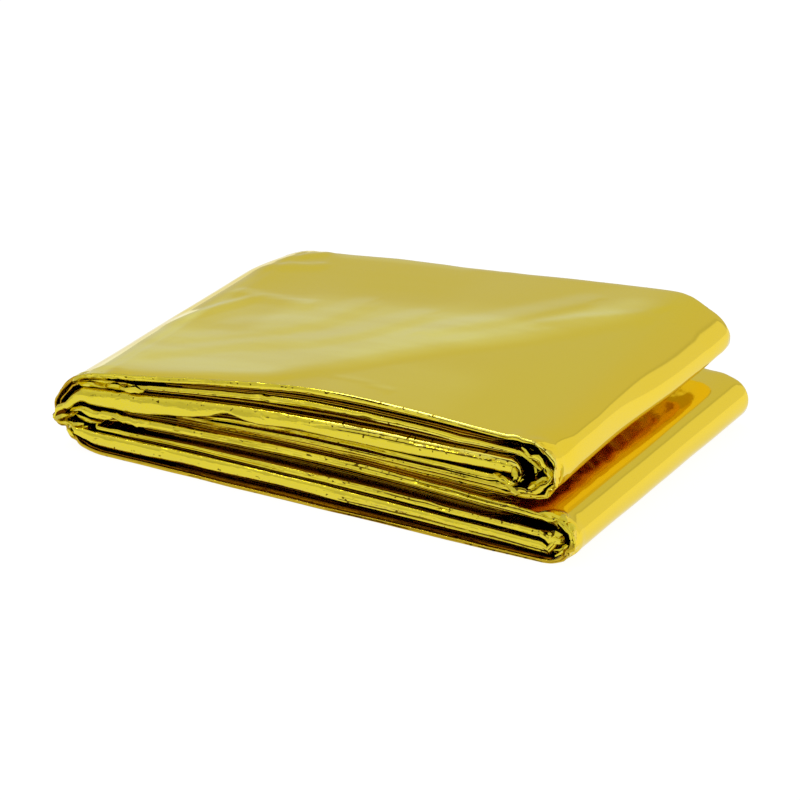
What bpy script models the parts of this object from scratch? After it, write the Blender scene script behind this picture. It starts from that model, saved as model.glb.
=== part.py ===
"""Emergency foil blanket, folded into a flat pack.

The film is folded lengthwise into a narrow strip, and the strip goes back and forth through the pack.
The pack was closed like a book last, so it has a closed spine at -X and two stacks of loops at +X,
which spring apart. The strip is one solid: a flat band with round edges, swept along its folds.

Table sizes are in millimetres. X runs along the pack, Y across it and Z up.
"""
import math
from collections import namedtuple

import bmesh
import bpy

MM = 0.001

FILM_LENGTH = 2100.0            # the opened blanket
LAYERS_ACROSS = 24              # film layers folded across, which make the strip
STRIP_WIDTH = FILM_LENGTH / LAYERS_ACROSS
FOIL_GOLD = (0.83, 0.64, 0.10, 1.0)

STATION_STEP = 9.0              # spacing of the rings along a flat pass
TURN_STEPS = 12                 # rings round a wide turn
HAIRPIN_STEPS = 4               # rings round a tight one
HAIRPIN_REACH = 2.0             # a turn that reaches less than this past its passes is a hairpin
SPAN_SHARES = (0.0, 0.2, 0.4, 0.6, 0.8, 1.0)   # points across one face of the strip
NOSE_ANGLES = (45.0, 90.0, 135.0)              # points round each long edge
END_ROUND = 0.35                # length of the rounding at a free end
END_SHARE = 0.45                # what is left of the thickness at its tip

# Where the height and lift columns of a pass are read, from the spine to the open side.
HEIGHT_X = (-50.0, -25.0, 0.0, 25.0, 48.0)
SIZE_X = (-50.0, 0.0, 48.0)     # the same for its thickness and its setbacks

# How much higher the top of the pack lies at the rear edge than at the front, at each HEIGHT_X.
REAR_LIFT = (-0.3, -1.2, -2.4, -0.9, 0.9)

# One row for each pass of the strip, from the top of the pack down.
# left, right: where its flat stretch ends. z_*: middle of its thickness. t_*: thickness.
# front_*: how far its front edge is set back. back: the same at the rear.
# follows: its share of REAR_LIFT. opens: its own lift at the open side, where the halves spring apart.
Pass = namedtuple(
    "Pass",
    "left right z_a z_b z_c z_d z_e t_a t_b t_c front_a front_b front_c back follows opens",
)
PASSES = {
    "upper1": Pass(-52, 50, 19.5, 23.2, 26.6, 27.3, 26.9, 1.1, 1.1, 1.1, 0.4, 1.5, 0.4, 0.3, 1.0, 0.0),
    "upper2": Pass(-52, 49, 17.6, 20.7, 23.5, 24.3, 24.4, 0.9, 1.6, 1.2, 1.2, 1.2, 0.8, 1.3, 0.55, 0.6),
    "upper3": Pass(-56, 50, 14.2, 16.9, 18.9, 19.8, 20.3, 3.8, 3.5, 3.1, 0.0, 0.0, 0.5, 0.2, 0.15, 1.5),
    "upper4": Pass(-28, 50, 12.4, 14.4, 16.2, 16.8, 17.0, 0.5, 1.1, 1.6, 3.0, 1.6, 0.3, 2.0, 0.12, 1.8),
    "upper5": Pass(-34, 49, 11.9, 13.3, 14.75, 15.0, 15.1, 0.5, 0.9, 0.9, 3.0, 1.2, 0.9, 1.0, 0.10, 2.05),
    "upper6": Pass(-34, 50, 11.0, 12.2, 13.45, 13.7, 13.8, 0.5, 0.9, 0.9, 4.0, 2.0, 1.4, 2.4, 0.08, 2.3),
    "lower1": Pass(-58, 57, 9.6, 10.7, 11.6, 11.5, 10.8, 1.6, 1.7, 1.5, 0.6, 0.3, 0.4, 0.6, 0.05, 0.4),
    "lower2": Pass(-54, 56, 7.9, 8.8, 9.6, 9.3, 8.7, 0.7, 1.0, 0.9, 3.0, 4.0, 3.5, 2.8, 0.05, 0.3),
    "lower3": Pass(-54, 57, 6.7, 7.2, 7.3, 7.2, 6.8, 0.8, 1.4, 1.3, 1.0, 0.5, 0.7, 0.9, 0.0, 0.2),
    "lower4": Pass(-54, 57.5, 4.35, 4.6, 4.8, 4.5, 4.05, 2.8, 2.7, 2.4, 0.0, 0.0, 0.4, 0.1, 0.0, 0.1),
    "lower5": Pass(-51, 57, 1.75, 2.15, 2.4, 2.3, 2.05, 0.6, 0.9, 0.8, 2.5, 4.0, 3.0, 3.0, 0.0, 0.1),
    "lower6": Pass(-52, 57, 0.55, 0.55, 0.55, 0.55, 0.55, 1.1, 1.1, 1.1, 0.3, 0.0, 0.2, 0.3, 0.0, 0.0),
}

# One row for each turn, in the order in which the strip meets them.
# reach: the furthest X of its middle at the front. rear: how much that moves towards the rear edge.
# z_tip, t_tip: height and thickness there. front, back: how far the edges are set back there.
# fullness: 2 is an ellipse, and more is squarer.
Turn = namedtuple("Turn", "leaves joins reach rear z_tip t_tip front back fullness")
TURNS = (
    Turn("lower1", "lower6", 65.1, -0.7, 5.8, 1.1, 0.0, 0.6, 2.3),
    Turn("lower6", "upper1", -66.0, 0.5, 6.6, 1.0, 0.6, 6.0, 1.8),
    Turn("upper1", "upper6", 60.7, -2.4, 19.3, 1.1, 0.0, 0.6, 2.1),
    Turn("upper6", "upper5", -34.5, 0.0, 12.25, 0.5, 3.5, 2.0, 2.0),
    Turn("upper5", "upper2", 58.9, -2.2, 19.0, 1.0, 0.3, 1.2, 2.2),
    Turn("upper2", "lower5", -64.7, 0.5, 7.0, 0.6, 0.6, 6.6, 1.9),
    Turn("lower5", "lower2", 62.4, -0.6, 5.5, 0.8, 1.0, 3.0, 2.2),
    Turn("lower2", "lower3", -54.5, 0.0, 7.3, 0.6, 2.0, 2.0, 2.0),
    Turn("lower3", "lower4", 59.1, -0.4, 5.4, 1.2, 0.3, 0.8, 2.0),
    Turn("lower4", "upper3", -62.2, 0.4, 7.4, 1.6, 0.0, 6.0, 2.0),
    Turn("upper3", "upper4", 52.0, -1.0, 18.6, 1.8, 0.2, 1.0, 2.0),
)

# A point of the strip's section: its middle and thickness, its setbacks, and how the rear edge moves.
Point = namedtuple("Point", "x z thick front back rear lift")


def along(x, places, values):
    """The value at x of a smooth curve through values at places, and of a straight line beyond them."""
    if x <= places[0]:
        return values[0] + (x - places[0]) * (values[1] - values[0]) / (places[1] - places[0])
    if x >= places[-1]:
        return values[-1] + (x - places[-1]) * (values[-1] - values[-2]) / (places[-1] - places[-2])
    i = max(n for n in range(len(places) - 1) if places[n] <= x)
    share = (x - places[i]) / (places[i + 1] - places[i])
    before, after = values[max(i - 1, 0)], values[min(i + 2, len(values) - 1)]
    here, there = values[i], values[i + 1]
    rise, fall = (there - before) / 2, (after - here) / 2
    cubic = 2 * (here - there) + rise + fall
    return ((cubic * share + 3 * (there - here) - 2 * rise - fall) * share + rise) * share + here


def held(x, values):
    """Like along, for the three size columns, and constant beyond them."""
    return along(min(max(x, SIZE_X[0]), SIZE_X[-1]), SIZE_X, values)


def lift_at(row, x):
    """How much higher a pass lies at the rear edge than at the front."""
    shared = along(min(max(x, HEIGHT_X[0]), HEIGHT_X[-1]), HEIGHT_X, REAR_LIFT)
    opened = min(max((x - HEIGHT_X[0]) / (HEIGHT_X[-1] - HEIGHT_X[0]), 0.0), 1.0) ** 2
    return row.follows * shared + row.opens * opened


def pass_point(row, x):
    return Point(
        x,
        along(x, HEIGHT_X, (row.z_a, row.z_b, row.z_c, row.z_d, row.z_e)),
        held(x, (row.t_a, row.t_b, row.t_c)),
        held(x, (row.front_a, row.front_b, row.front_c)),
        row.back,
        0.0,
        lift_at(row, x),
    )


def pass_points(row, forward):
    count = max(2, round((row.right - row.left) / STATION_STEP))
    points = [pass_point(row, row.left + (row.right - row.left) * n / count) for n in range(count + 1)]
    return points if forward else points[::-1]


def mix(a, b, share):
    return a + (b - a) * share


def turn_points(turn, start, end):
    """The rings between two passes, round one quarter of a full ellipse on each side of the tip."""
    hairpin = min(abs(turn.reach - start.x), abs(turn.reach - end.x)) < HAIRPIN_REACH
    steps = HAIRPIN_STEPS if hairpin else TURN_STEPS
    points = []
    for n in range(1, steps):
        share = n / steps
        near = start if share < 0.5 else end
        out = math.sin(share * math.pi) ** (2 / turn.fullness)
        up = abs(math.cos(share * math.pi)) ** (2 / turn.fullness)
        points.append(
            Point(
                mix(near.x, turn.reach, out),
                mix(turn.z_tip, near.z, up),
                mix(near.thick, turn.t_tip, out),
                mix(near.front, turn.front, 1 - up),
                mix(near.back, turn.back, out),
                turn.rear * out,
                mix(start.lift, end.lift, share),
            )
        )
    return points


def strip_points():
    """The section of the whole strip, from its inner free end in the lower half to that in the upper."""
    order = [TURNS[0].leaves] + [turn.joins for turn in TURNS]
    passes = [pass_points(PASSES[name], n % 2 == 0) for n, name in enumerate(order)]
    points = list(passes[0])
    for turn, following in zip(TURNS, passes[1:]):
        points += turn_points(turn, points[-1], following[0])
        points += following
    return [rounded_end(points[0], points[1])] + points + [rounded_end(points[-1], points[-2])]


def rounded_end(tip, inner):
    side = math.copysign(END_ROUND, tip.x - inner.x)
    return tip._replace(x=tip.x + side, thick=tip.thick * END_SHARE)


def ring(point, normal):
    """The outline of the strip at one point of its section, as a flat band with round long edges."""
    half = point.thick / 2
    front = -STRIP_WIDTH / 2 + point.front
    back = STRIP_WIDTH / 2 - point.back
    spans = [mix(front + half, back - half, share) for share in SPAN_SHARES]
    outline = [(y, half) for y in spans]
    outline += nose(back - half, half, 1)
    outline += [(y, -half) for y in reversed(spans)]
    outline += nose(front + half, half, -1)
    corners = []
    for y, out in outline:
        share = y / STRIP_WIDTH + 0.5
        x = point.x + normal[0] * out + point.rear * share
        z = point.z + normal[1] * out + point.lift * share
        corners.append((x * MM, y * MM, z * MM))
    return corners


def nose(y, half, side):
    """The points round one long edge, from the face that the outline comes from to the other."""
    turned = [math.radians(angle) for angle in NOSE_ANGLES]
    return [(y + side * half * math.sin(a), side * half * math.cos(a)) for a in turned]


def normals(points):
    """The unit normal of the section at each point, to the left of the way that the strip runs."""
    found = []
    for n in range(len(points)):
        before, after = points[max(n - 1, 0)], points[min(n + 1, len(points) - 1)]
        dx, dz = after.x - before.x, after.z - before.z
        length = math.hypot(dx, dz)
        found.append((-dz / length, dx / length))
    return found


def strip_mesh(name):
    points = strip_points()
    work = bmesh.new()
    rings = [[work.verts.new(c) for c in ring(p, n)] for p, n in zip(points, normals(points))]
    for one, two in zip(rings, rings[1:]):
        for n in range(len(one)):
            following = (n + 1) % len(one)
            work.faces.new((one[n], one[following], two[following], two[n]))
    work.faces.new(rings[0][::-1])
    work.faces.new(rings[-1])
    bmesh.ops.recalc_face_normals(work, faces=work.faces)
    centre_over_origin(work)
    mesh = bpy.data.meshes.new(name)
    work.to_mesh(mesh)
    work.free()
    return mesh


def centre_over_origin(work):
    """Moves the strip so that the middle of its footprint is at the origin, with its underside at zero."""
    lows = [min(v.co[axis] for v in work.verts) for axis in range(3)]
    highs = [max(v.co[axis] for v in work.verts) for axis in range(3)]
    shift = (-(lows[0] + highs[0]) / 2, -(lows[1] + highs[1]) / 2, -lows[2])
    bmesh.ops.translate(work, verts=work.verts, vec=shift)


def foil_material():
    material = bpy.data.materials.new("gold_foil")
    material.use_nodes = True
    shader = material.node_tree.nodes["Principled BSDF"]
    shader.inputs["Base Color"].default_value = FOIL_GOLD
    shader.inputs["Metallic"].default_value = 1.0
    shader.inputs["Roughness"].default_value = 0.16
    return material


def make_blanket():
    blanket = bpy.data.objects.new("foil_blanket", strip_mesh("foil_blanket"))
    blanket.data.materials.append(foil_material())
    blanket.data.shade_smooth()
    blanket.data.set_sharp_from_angle(angle=math.radians(40))
    bpy.context.scene.collection.objects.link(blanket)


for old in list(bpy.data.objects):
    bpy.data.objects.remove(old, do_unlink=True)
make_blanket()
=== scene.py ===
import math
import random
from collections import namedtuple

import bmesh
import bpy
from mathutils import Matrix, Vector, noise


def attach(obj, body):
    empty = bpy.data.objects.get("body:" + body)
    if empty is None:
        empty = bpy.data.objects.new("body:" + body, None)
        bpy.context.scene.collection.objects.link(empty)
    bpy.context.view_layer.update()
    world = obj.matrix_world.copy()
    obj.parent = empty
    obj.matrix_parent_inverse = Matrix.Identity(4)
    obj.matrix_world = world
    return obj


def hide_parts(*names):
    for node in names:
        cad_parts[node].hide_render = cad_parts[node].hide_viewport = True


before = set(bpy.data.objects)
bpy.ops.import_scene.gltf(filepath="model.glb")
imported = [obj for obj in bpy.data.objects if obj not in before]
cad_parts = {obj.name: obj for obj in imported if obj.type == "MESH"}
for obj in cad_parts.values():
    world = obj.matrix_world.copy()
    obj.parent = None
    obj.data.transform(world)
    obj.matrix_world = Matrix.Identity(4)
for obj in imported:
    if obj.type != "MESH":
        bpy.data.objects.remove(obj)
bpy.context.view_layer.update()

mm = 0.001

# the strip and its folds, in millimetres, as in the part's source
strip = {
    "width": 87.5,
    "stationStep": 0.85,  # spacing of the rings along a pass
    "turnStep": 0.85,  # spacing of the rings round a turn
    "hairpinSteps": 6,  # rings round a tight turn
    "hairpinReach": 2.0,  # a turn that reaches less than this is a hairpin
    "endRound": 0.35,
    "endShare": 0.45,
}

heightX = (-50.0, -25.0, 0.0, 25.0, 48.0)
sizeX = (-50.0, 0.0, 48.0)
rearLift = (0.15, -1.1, -2.4, -0.8, 1.3)  # how much higher the top lies at the rear edge
frontY = -strip["width"] / 2

Pass = namedtuple(
    "Pass",
    "left right zA zB zC zD zE tA tB tC frontA frontB frontC back follows opens",
)
passes = {
    "upper1": Pass(-52, 50, 19.4, 23.05, 26.4, 27.2, 26.9, 1.3, 1.5, 1.1, 0.4, 1.5, 0.4, 0.3, 1.0, 0.0),
    "upper2": Pass(-52, 49, 17.6, 20.7, 23.3, 23.9, 23.8, 0.9, 1.6, 1.2, 1.2, 1.2, 0.8, 1.3, 0.55, 0.6),
    "upper3": Pass(-56, 50, 14.2, 16.9, 18.9, 19.8, 20.3, 3.8, 3.5, 3.1, 0.0, 0.0, 0.5, 0.2, 0.15, 1.5),
    "upper4": Pass(-28, 50, 12.4, 14.4, 16.1, 16.6, 16.7, 0.5, 1.1, 1.6, 3.0, 1.6, 0.3, 2.0, 0.12, 1.8),
    "upper5": Pass(-34, 49, 11.9, 13.3, 14.75, 15.0, 15.1, 0.5, 0.9, 0.9, 3.0, 1.2, 0.9, 1.0, 0.10, 2.05),
    "upper6": Pass(-34, 50, 11.0, 12.2, 13.45, 13.7, 13.8, 0.5, 0.9, 0.9, 4.0, 2.0, 1.4, 2.4, 0.08, 2.3),
    "lower1": Pass(-58, 57, 9.6, 10.7, 11.6, 11.5, 10.8, 1.6, 1.7, 1.5, 0.6, 0.3, 0.4, 0.6, 0.05, 0.4),
    "lower2": Pass(-54, 56, 7.9, 8.8, 9.6, 9.3, 8.7, 0.7, 1.0, 0.9, 3.0, 4.0, 3.5, 2.8, 0.05, 0.3),
    "lower3": Pass(-54, 57, 6.2, 6.8, 7.0, 6.8, 6.4, 0.8, 1.4, 1.3, 1.0, 0.5, 0.7, 0.9, 0.0, 0.2),
    "lower4": Pass(-54, 57.5, 3.95, 4.25, 4.45, 4.1, 3.7, 2.8, 2.6, 2.3, 0.0, 0.0, 0.4, 0.1, 0.0, 0.1),
    "lower5": Pass(-51, 57, 1.6, 2.0, 2.25, 2.1, 1.85, 0.5, 0.8, 0.6, 2.5, 4.0, 3.0, 3.0, 0.0, 0.1),
    "lower6": Pass(-52, 57, 0.4, 0.4, 0.4, 0.4, 0.4, 0.8, 0.8, 0.8, 0.3, 0.0, 0.2, 0.3, 0.0, 0.0),
}

Turn = namedtuple("Turn", "leaves joins reach rear zTip tTip front back fullness")
turns = (
    Turn("lower1", "lower6", 65.1, -0.7, 5.8, 1.1, 0.0, 0.6, 2.3),
    Turn("lower6", "upper1", -66.2, 0.5, 6.8, 0.55, 2.7, 6.0, 1.8),
    Turn("upper1", "upper6", 60.7, -2.4, 19.3, 1.1, 0.0, 0.6, 2.1),
    Turn("upper6", "upper5", -34.5, 0.0, 12.25, 0.5, 3.5, 2.0, 2.0),
    Turn("upper5", "upper2", 58.9, -2.2, 19.0, 1.0, 0.3, 1.2, 2.2),
    Turn("upper2", "lower5", -65.1, 0.5, 7.0, 0.4, 3.2, 6.6, 1.9),
    Turn("lower5", "lower2", 62.4, -0.6, 5.5, 0.8, 1.0, 3.0, 2.2),
    Turn("lower2", "lower3", -54.5, 0.0, 7.3, 0.6, 2.0, 2.0, 2.0),
    Turn("lower3", "lower4", 60.6, -0.4, 5.2, 1.1, 0.3, 0.8, 2.4),
    Turn("lower4", "upper3", -63.3, 0.4, 7.0, 0.8, 0.0, 6.0, 1.6),
    Turn("upper3", "upper4", 52.0, -1.0, 18.6, 1.8, 0.2, 1.0, 2.0),
)

Point = namedtuple("Point", "x z thick front back rear lift name")


def along(x, places, values):
    if x <= places[0]:
        return values[0] + (x - places[0]) * (values[1] - values[0]) / (places[1] - places[0])
    if x >= places[-1]:
        return values[-1] + (x - places[-1]) * (values[-1] - values[-2]) / (places[-1] - places[-2])
    i = max(n for n in range(len(places) - 1) if places[n] <= x)
    share = (x - places[i]) / (places[i + 1] - places[i])
    before, after = values[max(i - 1, 0)], values[min(i + 2, len(values) - 1)]
    here, there = values[i], values[i + 1]
    rise, fall = (there - before) / 2, (after - here) / 2
    cubic = 2 * (here - there) + rise + fall
    return ((cubic * share + 3 * (there - here) - 2 * rise - fall) * share + rise) * share + here


def held(x, values, places=sizeX):
    return along(clamp(x, places[0], places[-1]), places, values)


def clamp(value, low=0.0, high=1.0):
    return min(max(value, low), high)


def smooth(value):
    value = clamp(value)
    return value * value * (3 - 2 * value)


def rising(value, start, over):
    return smooth((value - start) / over)


xAxis, yAxis, zAxis = 0, 1, 2


def within(place, effect):
    # how strong an effect is at a place: its most, and for each limit an axis, where the effect starts
    # and over what length, which is negative where it ends
    strength, *limits = effect
    for axis, start, over in limits:
        strength *= rising(place[axis], start, over)
    return strength


def mix(a, b, share):
    return a + (b - a) * share


def passPoint(name, x):
    row = passes[name]
    shared = held(x, rearLift, heightX)
    opened = clamp((x - heightX[0]) / (heightX[-1] - heightX[0])) ** 2
    return Point(
        x,
        along(x, heightX, (row.zA, row.zB, row.zC, row.zD, row.zE)),
        held(x, (row.tA, row.tB, row.tC)),
        held(x, (row.frontA, row.frontB, row.frontC)),
        row.back,
        0.0,
        row.follows * shared + row.opens * opened,
        name,
    )


def passPoints(name, forward):
    row = passes[name]
    count = max(2, round((row.right - row.left) / strip["stationStep"]))
    points = [passPoint(name, row.left + (row.right - row.left) * n / count) for n in range(count + 1)]
    return points if forward else points[::-1]


def turnPoints(turn, start, end):
    hairpin = min(abs(turn.reach - start.x), abs(turn.reach - end.x)) < strip["hairpinReach"]
    arc = abs(turn.reach - start.x) + abs(turn.reach - end.x) + abs(start.z - end.z)
    steps = strip["hairpinSteps"] if hairpin else round(arc / strip["turnStep"])
    points = []
    for n in range(1, steps):
        share = n / steps
        near = start if share < 0.5 else end
        out = math.sin(share * math.pi) ** (2 / turn.fullness)
        up = abs(math.cos(share * math.pi)) ** (2 / turn.fullness)
        points.append(
            Point(
                mix(near.x, turn.reach, out),
                mix(turn.zTip, near.z, up),
                mix(near.thick, turn.tTip, out),
                mix(near.front, turn.front, 1 - up),
                mix(near.back, turn.back, out),
                turn.rear * out,
                mix(start.lift, end.lift, share),
                near.name,
            )
        )
    return points


def roundedEnd(tip, inner):
    side = math.copysign(strip["endRound"], tip.x - inner.x)
    return tip._replace(x=tip.x + side, thick=tip.thick * strip["endShare"])


def stripPoints():
    order = [turns[0].leaves] + [turn.joins for turn in turns]
    rows = [passPoints(name, n % 2 == 0) for n, name in enumerate(order)]
    points = list(rows[0])
    for turn, following in zip(turns, rows[1:]):
        points += turnPoints(turn, points[-1], following[0])
        points += following
    return [roundedEnd(points[0], points[1])] + points + [roundedEnd(points[-1], points[-2])]


def sectionNormals(points):
    found = []
    for n in range(len(points)):
        before, after = points[max(n - 1, 0)], points[min(n + 1, len(points) - 1)]
        dx, dz = after.x - before.x, after.z - before.z
        length = math.hypot(dx, dz)
        found.append((-dz / length, dx / length))
    return found


# the outline of the strip: a flat band with a rounded front and rear edge
outline = {
    "frontPoints": 26,  # points round the front edge of a thick band
    "thinPoints": 15,  # and of a thin one
    "thick": 1.9,  # from this thickness a band counts as thick, in mm
    "rearPoints": 6,
    "closeSpans": (0.0, 0.4, 0.9, 1.6, 2.4, 3.4, 4.6, 6.0, 7.6, 9.4),  # from the front edge, in mm
    "skinSpan": 1.8,  # spacing of the other points on the outer skin
    "innerSpans": (0.0, 0.6, 1.6, 3.5, 8.0, 30.0, 60.0, 87.5),
    "roundest": 1.6,  # a band's front edge is no rounder than that of one twice this thick
    "upwards": 0.5,  # a face whose normal rises more than this is on top
    "layerStep": 3.0,  # how far apart the patterns of two passes are drawn
    "sharp": 35,  # an edge that turns by more than this many degrees is sharp
}


def skinSpans():
    spans = list(outline["closeSpans"])
    rest = strip["width"] - spans[-1]
    count = round(rest / outline["skinSpan"])
    return spans + [spans[-1] + rest * n / count for n in range(1, count + 1)]


# what each band's front edge looks like: how deep its rounding is, how far its top leans back
Band = namedtuple("Band", "depth lean squareness")
thinBand = Band(0.5, 0.0, 2.0)
bands = {
    "upper1": Band(0.8, -0.22, 2.0),
    "upper2": Band(0.9, 0.0, 2.2),
    "upper3": Band(1.1, 0.35, 2.4),
    "upper4": Band(0.7, 0.1, 2.2),
    "lower1": Band(0.8, 0.15, 2.3),
    "lower3": Band(0.7, 0.1, 2.2),
    "lower4": Band(1.0, 0.25, 2.4),
    "lower6": Band(0.6, 0.0, 2.0),
}

# how much lower than its flat the front of a thick band hangs, along the pack
hemReach = 8.0  # and how far behind the front edge
hemX = (-60.0, -50.0, -40.0, -30.0, -25.0, -20.0, -12.0, -5.0, 0.0, 15.0, 30.0, 45.0)
hems = {
    "upper3": (0.6, 1.2, 1.5, 0.6, -0.25, -1.3, 0.3, 0.0, 0.2, 1.0, 1.15, 1.0),
    "lower4": (0.8, 1.2, 1.1, 0.8, 0.7, 0.6, 0.5, 0.5, 0.6, 0.8, 0.9, 0.8),
}

Corner = namedtuple("Corner", "y out u key edge")
Groove = namedtuple("Groove", "u start end slope depth width")

# fine lines between the films that make up each band, seen on its front edge
Kind = namedtuple("Kind", "count u start widen")  # u is the height on the edge, from -1 to 1
grooving = {
    "draw": 8,
    "thin": Kind(5, (-0.6, 0.85), (-62, 20), 1.0),
    "thick": Kind(7, (0.15, 0.75), (-5, 25), 1.4),
    "thickFrom": 2.0,  # a pass is thick from this, in mm
    "length": (25, 80),
    "slope": (-0.006, 0.006),  # how u changes along the pack
    "depth": (0.08, 0.2),
    "width": (0.1, 0.16),
    "fade": 6.0,
}


def filmGrooves():
    chance = random.Random(grooving["draw"])
    found = {}
    for name, row in passes.items():
        kind = grooving["thick" if max(row.tB, row.tC) > grooving["thickFrom"] else "thin"]
        found[name] = []
        for n in range(kind.count):
            start = chance.uniform(*kind.start)
            found[name].append(
                Groove(
                    chance.uniform(*kind.u),
                    start,
                    start + chance.uniform(*grooving["length"]),
                    chance.uniform(*grooving["slope"]),
                    chance.uniform(*grooving["depth"]),
                    chance.uniform(*grooving["width"]) * kind.widen,
                )
            )
    return found


grooves = filmGrooves()


def grooveDepth(point, u):
    total = 0.0
    for groove in grooves[point.name]:
        fade = grooving["fade"]
        shown = rising(point.x, groove.start, fade) * rising(point.x, groove.end, -fade)
        if shown > 0:
            middle = groove.u + groove.slope * (point.x - groove.start)
            total += groove.depth * shown * math.exp(-(((u - middle) * point.thick / 2) / groove.width) ** 2)
    return total


def frontPointsOf(name):
    row = passes[name]
    return outline["frontPoints"] if max(row.tB, row.tC) > outline["thick"] else outline["thinPoints"]


def ringCorners(point, upper, lower, frontPoints):
    half = point.thick / 2
    band = bands.get(point.name, thinBand)
    front = frontY + point.front
    back = -frontY - point.back
    depth = band.depth * min(half, outline["roundest"])
    flat = back - half - (front + depth)
    corners = []
    for n, span in enumerate(upper):
        y = front + depth + span * flat / upper[-1]
        corners.append(Corner(y, half, 1.0, n / (len(upper) - 1), 0.0))
    for n in range(1, outline["rearPoints"]):
        turned = math.pi * n / outline["rearPoints"]
        out = half * math.cos(turned)
        y = back - half + half * math.sin(turned)
        corners.append(Corner(y, out, out / half, 1 + n / outline["rearPoints"], 1.0))
    for n, span in enumerate(reversed(lower)):
        y = front + depth + span * flat / lower[-1]
        corners.append(Corner(y, -half, -1.0, 2 + n / (len(lower) - 1), 0.0))
    for n in range(1, frontPoints):
        turned = math.pi * n / frontPoints - math.pi / 2
        u = math.sin(turned)
        y = front + depth - depth * math.cos(turned) ** (2 / band.squareness) + band.lean * (u + 1) / 2
        y += grooveDepth(point, u)
        corners.append(Corner(y, half * u, u, 3 + n / frontPoints, 1.0))
    return corners


latticeSkew = ((0.83, 0.41), (0.9, 0.3), (0.87, 0.35))  # so that creases don't follow the axes


def facets(place, size, seed):
    # a random vector at each point of a lattice, linear between them: flat facets with sharp creases
    x, y, z = place
    (xx, xz), (yy, yx), (zz, zy) = latticeSkew
    q = Vector((x * xx + z * xz, y * yy - x * yx, z * zz - y * zy)) / size
    low = Vector((math.floor(q.x), math.floor(q.y), math.floor(q.z)))
    part = q - low
    order = sorted(range(3), key=lambda axis: -part[axis])
    a, b, c = (part[axis] for axis in order)
    total = Vector()
    corner = low + Vector((seed + 0.5, 0.5, 0.5))
    for n, weight in enumerate((1 - a, a - b, b - c, c)):
        total += (noise.cell_vector(corner) * 2 - Vector((1, 1, 1))) * weight
        if n < 3:
            corner[order[n]] += 1
    return total


sway = {
    "reach": 14.0,  # how far in from the front and rear edges the waves fade out
    "along": 0.32,
    "up": 0.20,
    "waves": 0.06,  # for each mm along the pack
    "alongDraw": (0.35, 1.7),  # waves upwards, and the seed
    "upDraw": (0.8, 0.3, 9.2),  # the same, after how much slower these are along the pack
    "kinkReach": 5.0,  # the same reach for the small kinks
    "kink": 0.09,
    "kinkSize": (5.5, 4.0, 1.5),
    "kinkSeed": 71,
    "topCalm": (0.8, (zAxis, 24, 2), (xAxis, 8, 10)),  # how much less kinked the top edge is on the right
    "rearCalm": (0.85, (xAxis, 40, 8)),  # and the rear edge at the open side
    "floorEase": 1.5,  # nearer the floor than this, layers hardly move up or down
}

# the pack's corners: where they draw in, and how the upper loop's shoulder falls and its front stands out
bends = {
    "spineStart": -42.0,
    "spineIn": (0.2, (yAxis, 30, 18)),  # how far the spine's rear corner draws in
    "loopFrom": 13.0,  # the upper loop is above this height
    "shoulder": (0.7, (yAxis, -16, 56), (xAxis, 45, 10), (zAxis, 13, 8)),  # how far its rear shoulder falls
    "out": (2.8, (yAxis, -16, 56), (xAxis, 55, 5)),  # how far its rear reaches out
    "slant": (0.09, (xAxis, 46, 8), (xAxis, 63, -6), (zAxis, 17, 4)),  # and its turn, towards the front
    "slantSpan": (-24, 30, 12),  # the turn slants between the first two, and stays as it is at the third
    "frontHold": (0.5, (yAxis, -34, -8)),  # less so right at the front
    "hub": (48, 19.3, 1.3),  # middle and flatness of the loop's hollow, which stays as it is
    "hubFade": (4.5, 2.5),
    "heel": (1.7, (xAxis, -57, -7), (yAxis, -30, -10)),  # how far the spine's lower front corner draws in
    "heelHeight": (4.4, 2.0),
}


def cornerShape(place):
    x, y, z = place
    inside = max(0.0, bends["spineStart"] - x)
    moved = Vector((inside * within(place, bends["spineIn"]), 0, 0))
    if z > bends["loopFrom"]:
        moved.z = -within(place, bends["shoulder"])
        moved.x += within(place, bends["out"])
        middleX, middleZ, flat = bends["hub"]
        outer = rising(math.hypot((x - middleX) / flat, z - middleZ), *bends["hubFade"])
        nearest, furthest, still = bends["slantSpan"]
        turning = within(place, bends["slant"]) * outer * (1 - within(place, bends["frontHold"]))
        moved.x += (still - clamp(y, nearest, furthest)) * turning
    height, tall = bends["heelHeight"]
    moved.x += within(place, bends["heel"]) * math.exp(-((z - height) / tall) ** 2)
    return moved


# slow waves over the two ends, where the strip turns
endWaves = {
    "open": (0.15, (xAxis, 50, 6)),
    "spine": (0.15, (xAxis, -54, -5)),
    "size": (15.0, 8.0),  # across the pack and upwards
    "drift": 0.03,
    "seed": 3.3,
}


def endWave(place):
    strength = within(place, endWaves["open"]) + within(place, endWaves["spine"])
    if strength <= 0:
        return Vector()
    wide, high = endWaves["size"]
    drawn = Vector((place.y / wide, place.z / high, place.x * endWaves["drift"] + endWaves["seed"]))
    return Vector((noise.noise(drawn) * strength, 0, 0))


# the pointed tip of the big band at the spine
flare = {
    "bands": ("upper3", "lower4"),
    "from": -57.0,  # where it starts along the pack
    "over": 6.0,
    "reach": 3.2,  # depth behind the front edge
    "out": 2.4,
    "height": 6.7,  # the tip is drawn towards this height
    "gather": 0.1,
    "tall": 7.0,  # the point fades this far above and below it
}


def flareAt(place):
    inward = place[1] - frontY
    if inward > flare["reach"] or place[0] > flare["from"]:
        return Vector()
    share = smooth((flare["from"] - place[0]) / flare["over"]) * smooth(1 - inward / flare["reach"])
    gathered = (flare["height"] - place[2]) * flare["gather"] * share
    pointed = max(0.0, 1 - abs(place[2] - flare["height"]) / flare["tall"])
    return Vector((-flare["out"] * share * pointed, 0, gathered))


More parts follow.
